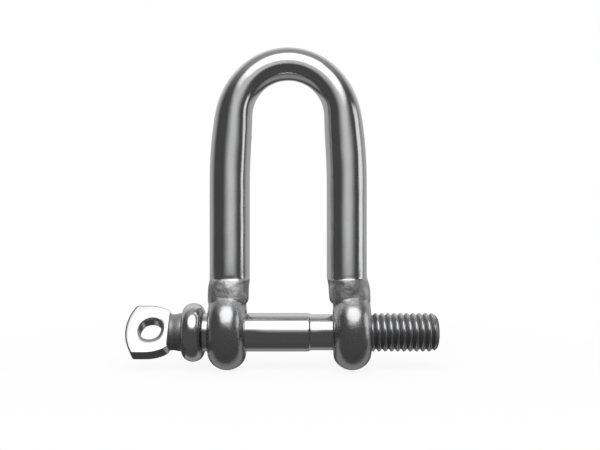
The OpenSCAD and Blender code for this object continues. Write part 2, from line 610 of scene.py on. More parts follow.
@dataclass(frozen=True)
class ForgedSteel(Steel):
    """Polished steel whose shoulders keep the satin skin of the forging, with painted shade on the eyes
    and on the threaded shoulder's ledge.
    """

    satin: float = 0.34
    eye_satin: float = 0.13
    satin_low: Point = (6.0 * MM, 7.2 * MM)
    satin_high: Point = (10.4 * MM, 11.0 * MM)
    lump_size: float = 620.0
    lump_height: float = 3.2
    eye_lump_height: float = 0.8
    # Painted shade: how far the eyes' colour is darkened, which dims their reflections.
    eye_painted_shade: float = 0.22
    patch_size: float = 260.0
    patch_edge: Point = (0.42, 0.6)
    patch_shade: float = 0.55
    # Painted shade that dims the threaded shoulder's ledge: its middle, its soft radius and its
    # strength.
    ledge_shade_at: Axes = (12.2 * MM, -4.5 * MM, 10.4 * MM)
    ledge_shade_r: Point = (1.5 * MM, 4.5 * MM)
    ledge_shade_strength: float = 0.75

    def _skin(self, sheet: Sheet, shoulder: float, eye: float) -> NodeSocket:
        """Spreads an effect over the parts that the polish doesn't reach.

        Args:
            sheet: The material's sheet.
            shoulder: The effect's strength on the shoulders.
            eye: Its strength on the eyes below them.

        Returns:
            The effect's strength at each place, and 0 on the polished bar.
        """
        height = sheet.axes(sheet.place)["Z"]
        level = sheet.math("MULTIPLY_ADD", sheet.rise(height, *self.satin_low), shoulder - eye, eye)
        return sheet.math("MULTIPLY", level, sheet.fall(height, *self.satin_high))

    def _colour(self, sheet: Sheet, colour: NodeSocket) -> NodeSocket:
        """Leaves the shoulders patchy, and paints shade on the eyes and on the threaded shoulder's
        ledge.

        Args:
            sheet: The material's sheet.
            colour: The polished bar's colour.

        Returns:
            The forging's colour.
        """
        cloud = sheet.noise(sheet.place, self.patch_size, detail=1.0)
        patch = sheet.rise(cloud, *self.patch_edge, self.patch_shade)
        # Painted shade: a soft dark blob on the threaded shoulder's ledge, which dims its highlight.
        away = sheet.vector("DISTANCE", sheet.place, self.ledge_shade_at)["Value"]
        ledge_shade_mask = sheet.math("MULTIPLY", sheet.fall(away, *self.ledge_shade_r), self.ledge_shade_strength)
        # The shoulders' random patches, with the painted shade on the ledge.
        patch = sheet.math("MAXIMUM", patch, ledge_shade_mask)
        patch = sheet.math("MULTIPLY", patch, self._skin(sheet, 1.0, 0.0))
        # Painted shade on the eyes: their colour is darkened towards the dark tone.
        share = sheet.math("ADD", patch, self._skin(sheet, 0.0, self.eye_painted_shade))
        return sheet.blend(share, colour, opaque(SKIN_AND_SHADE_TONE))

    def _roughness(self, sheet: Sheet, rough: NodeSocket) -> NodeSocket:
        """Leaves the shoulders satin and the eyes dull where the bar is polished."""
        return sheet.math("ADD", rough, self._skin(sheet, self.satin, self.eye_satin))

    def _height(self, sheet: Sheet, height: NodeSocket) -> NodeSocket:
        """Adds hammered lumps to the shoulders and, less, to the eyes.

        Args:
            sheet: The material's sheet.
            height: The polished bar's relief.

        Returns:
            The forging's relief.
        """
        lumps = sheet.noise(sheet.place, self.lump_size, detail=2.0)
        reach = self._skin(sheet, self.lump_height, self.eye_lump_height)
        return sheet.math("MULTIPLY_ADD", lumps, reach, height)


@dataclass(frozen=True)
class TurnedSteel(Steel):
    """Turned steel whose neck, between the head and the collar, keeps the satin skin of the forging and
    has painted shade in its colour.
    """

    neck_satin: float = 0.38
    # Painted shade: how far the neck's colour is darkened.
    neck_painted_shade: float = 0.5
    neck_start: Point = (-23.7 * MM, -23.45 * MM)
    neck_end: Point = (-21.3 * MM, -20.9 * MM)

    def _neck(self, sheet: Sheet, strength: float) -> NodeSocket:
        """Spreads an effect over the neck.

        Args:
            sheet: The material's sheet.
            strength: The effect's strength there.

        Returns:
            The effect's strength at each place, and 0 off the neck.
        """
        along = sheet.axes(sheet.place)["X"]
        reach = sheet.rise(along, *self.neck_start, strength)
        return sheet.math("MULTIPLY", reach, sheet.fall(along, *self.neck_end))

    def _colour(self, sheet: Sheet, colour: NodeSocket) -> NodeSocket:
        """Paints shade on the neck, between the head and the collar."""
        return sheet.blend(self._neck(sheet, self.neck_painted_shade), colour, opaque(SKIN_AND_SHADE_TONE))

    def _roughness(self, sheet: Sheet, rough: NodeSocket) -> NodeSocket:
        """Leaves the neck satin."""
        return sheet.math("ADD", rough, self._neck(sheet, self.neck_satin))


@dataclass(frozen=True)
class CutSteel(Steel):
    """Machined steel with painted shade in the roots of its thread."""

    root_r: float = 3.35 * MM
    crest_r: float = 3.78 * MM
    # Painted shade: the colour of the thread's roots.
    root_shade_tone: Colour = (0.28, 0.28, 0.285)
    root_rough: float = 0.62

    def _up_the_flank(self, sheet: Sheet) -> NodeSocket:
        """Finds the share of the way from a root to a crest, by the distance from the pin's axis.

        Args:
            sheet: The material's sheet.

        Returns:
            The share, from 0 in the roots to 1 on the crests.
        """
        parts = sheet.axes(sheet.place)
        return sheet.rise(sheet.hypot(parts["Z"], parts["Y"]), self.root_r, self.crest_r)

    def _colour(self, sheet: Sheet, colour: NodeSocket) -> NodeSocket:
        """Paints shade into the roots."""
        return sheet.blend(self._up_the_flank(sheet), opaque(self.root_shade_tone), colour)

    def _roughness(self, sheet: Sheet, rough: NodeSocket) -> NodeSocket:
        """Leaves the roots rough where the crests are burnished.

        Args:
            sheet: The material's sheet.
            rough: The crests' roughness.

        Returns:
            The thread's roughness.
        """
        worn = self._up_the_flank(sheet)
        gap = sheet.math("SUBTRACT", rough, self.root_rough)
        return sheet.math("MULTIPLY_ADD", gap, worn, self.root_rough)


POLISHED_FORGING = ForgedSteel(
    name="polished_forging",
    pale=(0.70, 0.70, 0.705),
    deep=(0.60, 0.60, 0.61),
    clear=0.10,
    hazy=0.17,
    cloud_size=240.0,
    ripple_size=330.0,
    ripple_height=0.075 * MM,
    line_stretch=(1.0, 1.0, 0.5),
    line_size=2600.0,
    lines=0.03,
)
TURNED_PIN = TurnedSteel(
    name="turned_pin",
    pale=(0.72, 0.72, 0.725),
    deep=(0.63, 0.63, 0.64),
    clear=0.10,
    hazy=0.17,
    cloud_size=300.0,
    ripple_size=180.0,
    ripple_height=0.02 * MM,
    line_stretch=(1.0, 0.2, 0.2),
    line_size=5200.0,
    lines=0.08,
)
CUT_THREAD = CutSteel(
    name="cut_thread",
    pale=(0.6, 0.6, 0.605),
    deep=(0.5, 0.5, 0.51),
    clear=0.17,
    hazy=0.25,
    cloud_size=500.0,
    ripple_size=700.0,
    ripple_height=0.015 * MM,
    line_stretch=(1.0, 0.3, 0.3),
    line_size=6000.0,
    lines=0.1,
)


@dataclass
class Thread:
    """A right-hand screw thread about the pin's axis."""

    start_x: float
    end_x: float
    crest_r: float
    root_r: float
    pitch: float
    crest_share: float = 0.22
    points: int = 12
    steps: int = 72

    WELD: ClassVar[float] = 0.002 * MM
    CUT_SLACK: ClassVar[float] = 0.0005 * MM

    def radius(self, x: float) -> float:
        """The thread's radius at a place along the pin, on the side that faces up.

        Args:
            x: The place along the pin.

        Returns:
            The radius there.
        """
        off = abs((x / self.pitch + 0.5) % 1.0 - 0.5)
        slope = (1.0 - 2 * off) / (1.0 - self.crest_share)
        return mix(self.root_r, self.crest_r, min(slope, 1.0))

    def helicoid(self, mesh: BMesh) -> None:
        """Winds the thread's profile into an open tube, cut square at both ends.

        Args:
            mesh: The mesh to wind it in.
        """
        turns_before = 1.5
        turns_after = 0.5
        first = self.start_x - turns_before * self.pitch
        count = math.ceil((self.end_x - first) / self.pitch + turns_after) * self.points
        places = [first + i * self.pitch / self.points for i in range(count + 1)]
        chain = half_section(mesh, [(x, self.radius(x)) for x in places], closed=False)
        spun(mesh, chain, self.steps, self.pitch)
        bmesh.ops.remove_doubles(mesh, verts=mesh.verts, dist=self.WELD)
        for x, way in ((self.start_x, -1.0), (self.end_x, 1.0)):
            bmesh.ops.bisect_plane(
                mesh,
                geom=whole(mesh),
                dist=self.CUT_SLACK,
                plane_co=(x, 0.0, 0.0),
                plane_no=(way, 0.0, 0.0),
                clear_outer=True,
            )


def turned_down(mesh: BMesh, rule: Callable[[float, float], float]) -> None:
    """Moves each point of a round piece to the radius that a rule gives.

    Args:
        mesh: The mesh to change.
        rule: Gives the new radius from the place along the pin and the old radius.
    """
    for vert in mesh.verts:
        old = math.hypot(vert.co.y, vert.co.z)
        vert.co = radial(vert.co, rule(vert.co.x, old))


@dataclass
class Bow:
    """The forged bow: a bent bar whose two legs flow into round eyes."""

    bend_r: float
    bend_z: float
    crown_t: float
    eye_r: float
    bar_d: float = 8.0 * MM
    bend_t: float = 7.5 * MM
    inside_w: float = 15.4 * MM
    thinning_len: float = 13.0 * MM
    eye_t: float = 7.5 * MM
    plain_eye_out: float = 0.45 * MM
    threaded_eye_out: float = 1.0 * MM
    eye_rise: float = 0.5 * MM
    rim_centre_r: float = 4.2 * MM
    bore_r: float = 3.9 * MM
    bore_chamfer: float = 0.4 * MM
    shoulder_top_z: float = 11.0 * MM
    shoulder_foot_z: float = 7.25 * MM
    shoulder_arch: float = 1.5 * MM
    shoulder_step: float = 0.36 * MM
    shoulder_step_len: float = 1.0 * MM
    shoulder_lean: float = 0.1 * MM
    shoulder_shift: float = 0.62
    shoulder_kick: float = 0.4
    shoulder_fullness: float = 3.2
    squaring_len: float = 1.5 * MM
    arch_len: float = 1.5 * MM
    rim_fullness: float = 2.3
    bar_sides: int = 26
    bend_rings: int = 20
    eye_steps: int = 36
    levels: int = 2

    RIM_STEPS: ClassVar[int] = 8
    BORE_SUPPORT: ClassVar[float] = 0.7
    THINNING_RINGS: ClassVar[int] = 5
    LEG_SHARES: ClassVar[Point] = (0.25, 0.6)
    SHOULDER_SHARES: ClassVar[tuple[float, ...]] = (1.0, 0.75, 0.5, 0.32, 0.2, 0.1, 0.0, -0.12, -0.45)

    @classmethod
    def from_frame(cls) -> "Bow":
        """Takes the bow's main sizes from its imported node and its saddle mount.

        Returns:
            The bow.
        """
        low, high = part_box("shackle_body")
        saddle = mount("bow_saddle")
        bend_r = saddle["dims"]["r_mm"] * MM
        saddle_z = saddle["pos_m"][2]
        return cls(
            bend_r=bend_r,
            bend_z=saddle_z - bend_r,
            crown_t=high.z - saddle_z,
            eye_r=cls.eye_rise - low.z,
        )

    def build(self, polish: Material, cut: Material, screw: Thread) -> None:
        """Builds the bow as one smooth forging, with a thread cut in its right-hand eye.

        Args:
            polish: The forging's finish.
            cut: The finish of the thread.
            screw: The pin's thread, which the eye's thread takes up.
        """
        mesh = bmesh.new()
        self._bar(mesh)
        self._squared(mesh)
        for side in Side:
            self._eye(mesh, side)
        self._hammered(mesh)
        finish_piece("shackle_bow", mesh, BOW_SEAT, polish, self.levels)
        self._eye_thread(cut, screw)

    def eye_x(self, side: Side) -> float:
        """The middle of an eye along the pin."""
        out = self.plain_eye_out if side is Side.PLAIN else self.threaded_eye_out
        return side.value * (self.inside_w / 2 + self.bar_d / 2 + out)

    def _ring(self, at: Point, turn: float, half: Point) -> Matrix:
        """Places a ring of the bar.

        Args:
            at: The ring's middle along X and Z.
            turn: The ring's turn about Y, which carries X to the outside of the bow.
            half: Half the bar's thickness in the plane of the bow, and half its width across it.

        Returns:
            The matrix that carries a unit circle to the ring.
        """
        half_t = cage_radius(half[0], self.bar_sides)
        half_w = cage_radius(half[1], self.bar_sides)
        place = Matrix.Translation((at[0], 0.0, at[1])) @ Matrix.Rotation(turn, 4, "Y")
        return place @ Matrix.Diagonal((half_t, half_w, 1.0, 1.0))

    def _leg_ring(self, side: Side, z: float) -> Matrix:
        """A ring of a leg at a height, with the leg's thinning and its shoulder.

        Args:
            side: The leg.
            z: The ring's height.

        Returns:
            The ring.
        """
        thin = max(z - self.bend_z + self.thinning_len, 0.0) / self.thinning_len
        inner = mix(self.inside_w / 2, self.bend_r, ease(thin))
        outer = mix(self.inside_w / 2 + self.bar_d, self.bend_r + self.bend_t, thin * thin)
        middle = (inner + outer) / 2
        below = self.shoulder_top_z - z
        quick = ease(below / self.shoulder_step_len)
        slow = ease(below / (self.shoulder_top_z - self.shoulder_foot_z))
        flare = mix(slow, 1.0, self.shoulder_kick * quick)
        shift = (abs(self.eye_x(side)) - middle) * flare * self.shoulder_shift
        step = self.shoulder_step * quick
        lean = self.shoulder_lean * max(below - self.shoulder_step_len, 0.0)
        lean /= self.shoulder_top_z - self.shoulder_step_len - self.shoulder_foot_z
        half = ((outer - inner) / 2, self.bar_d / 2 + step + lean)
        turn = math.pi if side is Side.PLAIN else math.tau
        return self._ring((side.value * (middle + shift), z), turn, half)

    def _bend_ring(self, angle: float) -> Matrix:
        """A ring of the bend.

        Args:
            angle: Its angle round the bend, from 0 at the plain leg.

        Returns:
            The ring.
        """
        top = math.sin(angle)
        thickness = mix(self.crown_t, self.bend_t, (1 - top) ** 2)
        radius = self.bend_r + thickness / 2
        at = (-radius * math.cos(angle), self.bend_z + radius * top)
        return self._ring(at, math.pi + angle, (thickness / 2, self.bar_d / 2))

    def _rings(self) -> list[Matrix]:
        """Lines up the bar's rings.

        Returns:
            The rings in order, up the plain leg, over the crown and down the threaded leg.
        """
        thinning_z = self.bend_z - self.thinning_len
        shoulder_len = self.shoulder_top_z - self.shoulder_foot_z
        heights = [self.shoulder_top_z - share * shoulder_len for share in self.SHOULDER_SHARES]
        heights += [mix(heights[-1], thinning_z, share) for share in self.LEG_SHARES]
        count = self.THINNING_RINGS
        heights += [mix(thinning_z, self.bend_z, i / count) for i in range(count)]
        rings = [self._leg_ring(Side.PLAIN, z) for z in heights]
        count = self.bend_rings
        rings += [self._bend_ring(math.pi * i / count) for i in range(count + 1)]
        rings += [self._leg_ring(Side.THREADED, z) for z in reversed(heights)]
        return rings

    def _bar(self, mesh: BMesh) -> None:
        """Sweeps the bar's ring from one shoulder to the other.

        Args:
            mesh: The mesh to sweep it in.
        """
        rings = self._rings()
        edges = circle_ring(mesh, self.bar_sides, rings[0])
        for before, after in zip(rings, rings[1:]):
            step = after @ before.inverted()
            edges = grown_ring(mesh, edges, lambda co: step @ co)

    def _squared(self, mesh: BMesh) -> None:
        """Makes the shoulders' rings fuller than the round bar, and arches them over the eyes.

        Args:
            mesh: The mesh that holds the bar alone.
        """
        for vert in mesh.verts:
            below = self.shoulder_top_z - vert.co.z
            if below > 0:
                side = Side.PLAIN if vert.co.x < 0 else Side.THREADED
                ring = self._leg_ring(side, vert.co.z)
                spoke = ring.inverted() @ vert.co
                full = ease((below - self.shoulder_step_len) / self.squaring_len)
                power = mix(ROUND_POWER, self.shoulder_fullness, full)
                reach = (abs(spoke.x) ** power + abs(spoke.y) ** power) ** (1 / power)
                spoke *= spoke.length / reach
                above_foot = (vert.co.z - self.shoulder_foot_z) / self.arch_len
                arch = self.shoulder_arch * ease(1 - above_foot)
                vert.co = ring @ spoke - Vector((0.0, 0.0, arch * spoke.x * spoke.x))

    def _eye_section(self) -> tuple[list[Point], float]:
        """The eye's half section as a closed chain, from the middle of its bore round its rim.

        Returns:
            The chain's points about the eye's middle, and the radius where the leg's seat starts.
        """
        half = self.eye_t / 2
        sides = 2 * self.RIM_STEPS
        rim = []
        for i in range(1, self.RIM_STEPS):
            angle = math.tau * i / sides
            x = cage_radius(half, sides) * math.cos(angle)
            rise = cage_radius(self.eye_r - self.rim_centre_r, sides) * math.sin(angle)
            rim.append((x, self.rim_centre_r + rise))
        mouth = [
            (half * self.BORE_SUPPORT, self.bore_r),
            (half - self.bore_chamfer, self.bore_r),
            (half, self.bore_r + self.bore_chamfer),
        ]
        far_mouth = [(-x, radius) for x, radius in reversed(mouth)]
        return [(0.0, self.bore_r), *mouth, *rim, *far_mouth], rim[0][1]

    def _drawn_up(self, place: Vector, middle: float) -> Vector:
        """Draws an eye's rim up towards its leg, fuller as it rises, and leaves its bore alone.

        Args:
            place: A place on the round eye.
            middle: The eye's middle along the pin.

        Returns:
            The place on the forged eye.
        """
        rim_start = 0.3 * MM
        full_from = math.radians(45.0)
        radius = math.hypot(place.y, place.z)
        reach = (radius - self.bore_r) / (self.eye_r - self.bore_r)
        rise = radius - cage_radius(self.rim_centre_r, self.eye_steps)
        if rise > rim_start:
            across = abs(place.x - middle) / cage_radius(self.eye_t / 2, 2 * self.RIM_STEPS)
            height = math.atan2(place.z, abs(place.y))
            power = mix(ROUND_POWER, self.rim_fullness, ease(height / full_from))
            fuller = (1 - across**power) ** (1 / power) / math.sqrt(1 - across * across)
            place = radial(place, radius + rise * (fuller - 1))
        return place + Vector((0.0, 0.0, self.eye_rise * ease(reach)))

    def _eye(self, mesh: BMesh, side: Side) -> None:
        """Spins an eye, opens its rim under the leg and joins the two.

        Args:
            mesh: The mesh that already holds the bar.
            side: The eye's leg.
        """
        seat_angle = math.radians(35.0)
        section, seat_r = self._eye_section()
        middle = self.eye_x(side)
        points = [(middle + x, cage_radius(radius, self.eye_steps)) for x, radius in section]
        bar = set(mesh.verts)
        spun(mesh, half_section(mesh, points, closed=True), self.eye_steps)
        eye = [vert for vert in mesh.verts if vert not in bar]
        half_step = Matrix.Rotation(math.pi / self.eye_steps, 4, "X")
        bmesh.ops.transform(mesh, matrix=half_step, verts=eye)
        under_leg = []
        for face in dict.fromkeys(face for vert in eye for face in vert.link_faces):
            centre = face.calc_center_median()
            lean = abs(math.atan2(centre.y, centre.z))
            outside = math.hypot(centre.y, centre.z) > cage_radius(seat_r, self.eye_steps)
            if lean < seat_angle and outside:
                under_leg.append(face)
        bmesh.ops.delete(mesh, geom=under_leg, context="FACES")
        joint = [edge for edge in open_edges(mesh) if edge_middle(edge).x * side.value > 0]
        for vert in eye:
            if vert.is_valid:
                vert.co = self._drawn_up(vert.co, middle)
        bmesh.ops.bridge_loops(mesh, edges=joint)

    def _hammered(self, mesh: BMesh) -> None:
        """Moves the shoulders' points a little in and out, as a hammer leaves them.

        Args:
            mesh: The mesh that holds the bar and both eyes.
        """
        bmesh.ops.recalc_face_normals(mesh, faces=mesh.faces)
        mesh.normal_update()
        lump = 0.28 * MM
        lumps_per_metre = 520.0
        low, fade_in = 4.5 * MM, 3 * MM
        high, fade_out = self.shoulder_top_z + 0.4 * MM, 1 * MM
        for vert in mesh.verts:
            z = vert.co.z
            reach = lump * ease((z - low) / fade_in) * ease((high - z) / fade_out)
            vert.co += vert.normal * reach * noise.noise(vert.co * lumps_per_metre)

    def _eye_thread(self, material: Material, screw: Thread) -> None:
        """Cuts the thread inside the right-hand eye, as a ring of ridges on its bore.

        Args:
            material: The thread's finish.
            screw: The pin's thread.
        """
        clearance = 0.06 * MM
        inset = 2.1 * MM
        buried_r = self.bore_r + 0.15 * MM
        turns = 4
        start_x = self.eye_x(Side.THREADED) - self.eye_t / 2 + inset
        end_x = start_x + turns * screw.pitch
        ridges = replace(
            screw,
            start_x=start_x,
            end_x=end_x,
            crest_r=screw.crest_r + clearance,
            root_r=screw.root_r + clearance,
        )
        mesh = bmesh.new()
        ridges.helicoid(mesh)

        def faded(x: float, radius: float) -> float:
            """Fades the ridges into the bore at both ends."""
            share = ease((x - start_x) / screw.pitch) * ease((end_x - x) / screw.pitch)
            return mix(self.bore_r, radius, share)

        turned_down(mesh, faded)
        rims = grown_ring(mesh, open_edges(mesh), lambda co: radial(co, buried_r))
        bmesh.ops.bridge_loops(mesh, edges=rims)
        finish_piece("eye_thread", mesh, BOW_SEAT, material, sharp=THREAD_CREASE)


@dataclass
class ScrewPin:
    """The pin: a flat drilled head, a neck, a collar, a shank and a screw thread."""

    head_end_x: float
    tip_x: float
    collar_low_x: float
    collar_high_x: float
    collar_r: float
    shank_r: float
    hole_x: float
    hole_r: float
    head_turn: float
    pitch: float
    head_len: float = 8.75 * MM
    head_w: float = 10.5 * MM
    head_t: float = 3.1 * MM
    head_bow_r: float = 9.0 * MM
    head_curve_len: float = 4.0 * MM
    edge_round: float = 0.3 * MM
    far_round: float = 0.75 * MM
    hole_lip: float = 0.45 * MM
    hole_sink: float = 0.3 * MM
    neck_r: float = 3.5 * MM
    neck_lip_r: float = 3.8 * MM
    bead_fullness: float = 2.1
    relief_r: float = 3.55 * MM
    step_x: float = 4.35 * MM
    step_bevel: float = 0.25 * MM
    thread_x: float = 9.45 * MM
    thread_depth: float = 0.55 * MM
    tip_round: float = 1.5 * MM
    levels: int = 2

    HOLE_BLOCK: ClassVar[float] = 0.4
    LIP_SIDES: ClassVar[int] = 16
    ROOT_SHARE: ClassVar[float] = 0.32
    WALL_ROW: ClassVar[float] = 0.85

    @classmethod
    def from_frame(cls) -> "ScrewPin":
        """Takes the pin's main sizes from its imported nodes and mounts.

        Returns:
            The pin.
        """
        low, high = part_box("screw_pin")
        collar_low, collar_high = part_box("pin_collar")
        hole = mount("head_hole")
        facing = Vector(hole["axis"])
        return cls(
            head_end_x=low.x,
            tip_x=high.x,
            collar_low_x=collar_low.x,
            collar_high_x=collar_high.x,
            collar_r=collar_high.z,
            shank_r=mount("pin_shank")["dims"]["r_mm"] * MM,
            hole_x=hole["pos_m"][0],
            hole_r=hole["dims"]["r_mm"] * MM,
            head_turn=math.atan2(-facing.y, facing.z),
            pitch=screw_pitch(),
        )

    @property
    def head_x(self) -> float:
        """Where the flat head meets the neck."""
        return self.head_end_x + self.head_len

    @property
    def thread(self) -> Thread:
        """The thread on the pin's end."""
        root_r = self.shank_r - self.thread_depth
        return Thread(self.thread_x, self.tip_x, self.shank_r, root_r, self.pitch)

    def build(self, polish: Material, cut: Material) -> None:
        """Builds the pin's pieces.

        Args:
            polish: The finish of the head, collar and shank.
            cut: The finish of the thread.
        """
        self._head_and_shank(polish)
        self._collar(polish)
        self._threaded_end(cut)

    def _head_and_shank(self, material: Material) -> None:
        """Builds the head, the neck and the shank as one smooth forging.

        Args:
            material: The forging's finish.
        """
        mesh = bmesh.new()
        self._head(mesh)
        self._shank(mesh)
        turn = Matrix.Rotation(self.head_turn, 4, "X")
        bmesh.ops.transform(mesh, matrix=turn, verts=mesh.verts)
        finish_piece("pin_shank", mesh, PIN_SEAT, material, self.levels)

    def _half_width(self, x: float) -> float:
        """Half the head's width, whose sides curve in to the neck.

        Args:
            x: The place along the pin.

        Returns:
            Half the width there.
        """
        drop = self.head_w / 2 - self.shank_r
        radius = (self.head_curve_len**2 + drop**2) / (2 * drop)
        past = max(x - self.head_x + self.head_curve_len, 0.0)
        return self.head_w / 2 - radius + math.sqrt(radius**2 - past**2)

    def _far_edge(self, v: float) -> float:
        """The head's bowed far edge, as its place along X."""
        return self.head_end_x + self.head_bow_r - math.sqrt(self.head_bow_r**2 - v * v)

    @staticmethod
    def _spread(share: float, lip: float, edge: float, rounding: float) -> float:
        """Spreads the three cells between the hole's lip and the head's edge.

        Args:
            share: The place between the hole's lip, at 0, and the edge, at 1.
            lip: Where the lip lies.
            edge: Where the edge lies.
            rounding: How far from the edge the face starts to round off.

        Returns:
            The place, with the last cell held close to the edge so that the face stays flat.
        """
        last = 2 / 3
        support = edge - math.copysign(rounding, edge - lip)
        if share <= last:
            return mix(lip, support, share / last)
        return mix(support, edge, (share - last) / (1 - last))

    def _plan(self, lengthways: float, sideways: float) -> Point:
        """Carries a place on a square of side 2 to the head's plan, with the hole at its middle.

        Args:
            lengthways: The place along the pin, from -1 at the far edge to 1 at the neck.
            sideways: The place across the head, from -1 to 1.

        Returns:
            The place along X and the place across the head.
        """
        block = self.HOLE_BLOCK
        slack = 0.01
        lip_r = self.hole_r + self.hole_lip
        lip_u = self.hole_x + lip_r * max(-1.0, min(1.0, lengthways / block))
        lip_v = lip_r * max(-1.0, min(1.0, sideways / block))
        out_u = max(abs(lengthways) - block, 0.0) / (1 - block)
        out_v = max(abs(sideways) - block, 0.0) / (1 - block)
        widest = math.copysign(self.head_w / 2, sideways)
        v = self._spread(out_v, lip_v, widest, self.edge_round)
        if lengthways < 0:
            u = self._spread(out_u, lip_u, self._far_edge(v), self.far_round)
        else:
            u = self._spread(out_u, lip_u, self.head_x, self.edge_round)
        side = math.copysign(self._half_width(u), sideways)
        v = self._spread(out_v, lip_v, side, self.edge_round)
        if max(abs(lengthways), abs(sideways)) < block + slack:
            spoke = Vector((u - self.hole_x, v)).normalized()
            spoke *= cage_radius(lip_r, self.LIP_SIDES)
            return self.hole_x + spoke.x, spoke.y
        return u, v

    def _face(self, mesh: BMesh) -> None:
        """Builds one face of the head, with the lip of its hole, above the plane of X and Y.

        Args:
            mesh: The mesh to build it in.
        """
        cells = 10
        bmesh.ops.create_grid(mesh, x_segments=cells, y_segments=cells, size=1.0)
        middle = []
        for face in mesh.faces:
            centre = face.calc_center_median()
            if max(abs(centre.x), abs(centre.y)) < self.HOLE_BLOCK:
                middle.append(face)
        bmesh.ops.delete(mesh, geom=middle, context="FACES")
        lip = [edge for edge in open_edges(mesh) if edge_middle(edge).length < 2 * self.HOLE_BLOCK]
        for vert in mesh.verts:
            vert.co = (*self._plan(vert.co.x, vert.co.y), self.head_t / 2)
        shrink = self.hole_r / (self.hole_r + self.hole_lip)

        def sunk(place: Vector) -> Vector:
            """Draws the lip in and down into the hole."""
            x = mix(self.hole_x, place.x, shrink)
            return Vector((x, place.y * shrink, place.z - self.hole_sink))

        grown_ring(mesh, lip, sunk)

    def _head(self, mesh: BMesh) -> None:
        """Builds the flat head with its hole, lying in the plane of X and Y.

        Args:
            mesh: The mesh to build it in.
        """
        self._face(mesh)
        back = bmesh.ops.duplicate(mesh, geom=whole(mesh))["geom"]
        bmesh.ops.scale(mesh, vec=(1.0, 1.0, -1.0), verts=verts_among(back))
        hole_reach = self.hole_r + self.hole_lip / 2
        hole = []
        outline = []
        for edge in open_edges(mesh):
            centre = edge_middle(edge)
            far = math.hypot(centre.x - self.hole_x, centre.y) > hole_reach
            (outline if far else hole).append(edge)
        walls = []
        for loops in (hole, outline):
            walls += bmesh.ops.bridge_loops(mesh, edges=loops)["edges"]
        cuts = 2
        made = bmesh.ops.subdivide_edges(mesh, edges=walls, cuts=cuts, use_grid_fill=True)
        rows = verts_among(made["geom_inner"])
        bmesh.ops.scale(mesh, vec=(1.0, 1.0, (cuts + 1) * self.WALL_ROW), verts=rows)

    def _shank(self, mesh: BMesh) -> None:
        """Opens the head's near edge and draws the neck and the shank out of it.

        Args:
            mesh: The mesh that already holds the head.
        """
        slack = 0.1 * MM
        square_on = 0.9
        mesh.normal_update()
        opening = []
        for face in mesh.faces:
            centre = face.calc_center_median()
            if centre.x > self.head_x - slack and abs(face.normal.x) > square_on:
                opening.append(face)
        bmesh.ops.delete(mesh, geom=opening, context="FACES")
        rim = open_edges(mesh)
        sides = len(rim)
        tight = 0.2 * MM
        root_gap = 0.05 * MM
        root_r = self.neck_r + 0.5 * tight
        root_end_x = mix(self.head_x, self.collar_low_x, self.ROOT_SHARE)
        flare_x, flare_r = self.collar_low_x - 0.6 * MM, self.neck_r + 0.3 * MM
        lip_x = self.collar_low_x - 0.1 * MM
        seat_x = self.collar_low_x + 0.15 * MM
        hold_x = self.step_x - 6 * MM
        bevel_x = self.step_x - self.step_bevel
        stations = [
            (self.head_x + root_gap, self.neck_r),
            (self.head_x + tight, root_r),
            (root_end_x - tight, root_r),
            (root_end_x, self.neck_r),
            (flare_x, flare_r),
            (lip_x, self.neck_lip_r),
            (seat_x, self.shank_r),
            (self.collar_high_x, self.shank_r),
            (hold_x, self.shank_r),
            (bevel_x - tight, self.shank_r),
            (bevel_x, self.shank_r),
            (self.step_x, self.relief_r),
            (self.step_x + tight, self.relief_r),
            (self.thread_x - tight, self.relief_r),
            (self.thread_x, self.relief_r),
        ]
        first_x, first_r = stations[0]
        size = cage_radius(first_r, sides)
        place = Matrix.Translation((first_x, 0.0, 0.0)) @ Matrix.Rotation(math.pi / 2, 4, "Y")
        ring = circle_ring(mesh, sides, place @ Matrix.Diagonal((size, size, 1.0, 1.0)))
        bmesh.ops.bridge_loops(mesh, edges=rim + ring)
        for x, radius in stations[1:]:
            size = cage_radius(radius, sides)
            ring = grown_ring(mesh, ring, lambda co: radial(Vector((x, co.y, co.z)), size))
        bmesh.ops.edgeloop_fill(mesh, edges=ring)

    def _collar(self, material: Material) -> None:
        """Spins the collar's rounded bead.

        Args:
            material: The collar's finish.
        """
        arc = 20
        steps = 64
        mouth = 0.02 * MM
        weld = 0.001 * MM
        seat_r = self.shank_r + 0.01 * MM
        half = (self.collar_high_x - self.collar_low_x) / 2
        middle = (self.collar_high_x + self.collar_low_x) / 2
        power = ROUND_POWER / self.bead_fullness
        mesh = bmesh.new()
        points = []
        for i in range(arc + 1):
            angle = math.pi * i / arc
            side = math.copysign(abs(math.cos(angle)) ** power, math.cos(angle))
            rise = (self.collar_r - seat_r) * max(math.sin(angle), 0.0) ** power
            points.append((middle - half * side, seat_r + rise))
        points += [(self.collar_high_x - mouth, seat_r), (self.collar_low_x + mouth, seat_r)]
        spun(mesh, half_section(mesh, points, closed=True), steps)
        bmesh.ops.remove_doubles(mesh, verts=mesh.verts, dist=weld)
        finish_piece("pin_bead", mesh, COLLAR_SEAT, material, sharp=COLLAR_CREASE)

    def _threaded_end(self, material: Material) -> None:
        """Winds the thread, runs it out of the relief and rounds its tip.

        Args:
            material: The thread's finish.
        """
        mesh = bmesh.new()
        self.thread.helicoid(mesh)
        round_x = self.tip_x - self.tip_round

        def shaped(x: float, radius: float) -> float:
            """Runs the thread in from the relief and rounds it off at the tip.

            Args:
                x: The place along the pin.
                radius: The wound thread's radius there.

            Returns:
                The finished radius.
            """
            radius = mix(self.relief_r, radius, ease((x - self.thread_x) / self.pitch))
            past = max(x - round_x, 0.0)
            drop = math.sqrt(max(self.tip_round**2 - past**2, 0.0))
            return min(radius, self.shank_r - self.tip_round + drop)

        turned_down(mesh, shaped)
        bmesh.ops.holes_fill(mesh, edges=mesh.edges[:])
        finish_piece("pin_thread", mesh, PIN_SEAT, material, sharp=THREAD_CREASE)


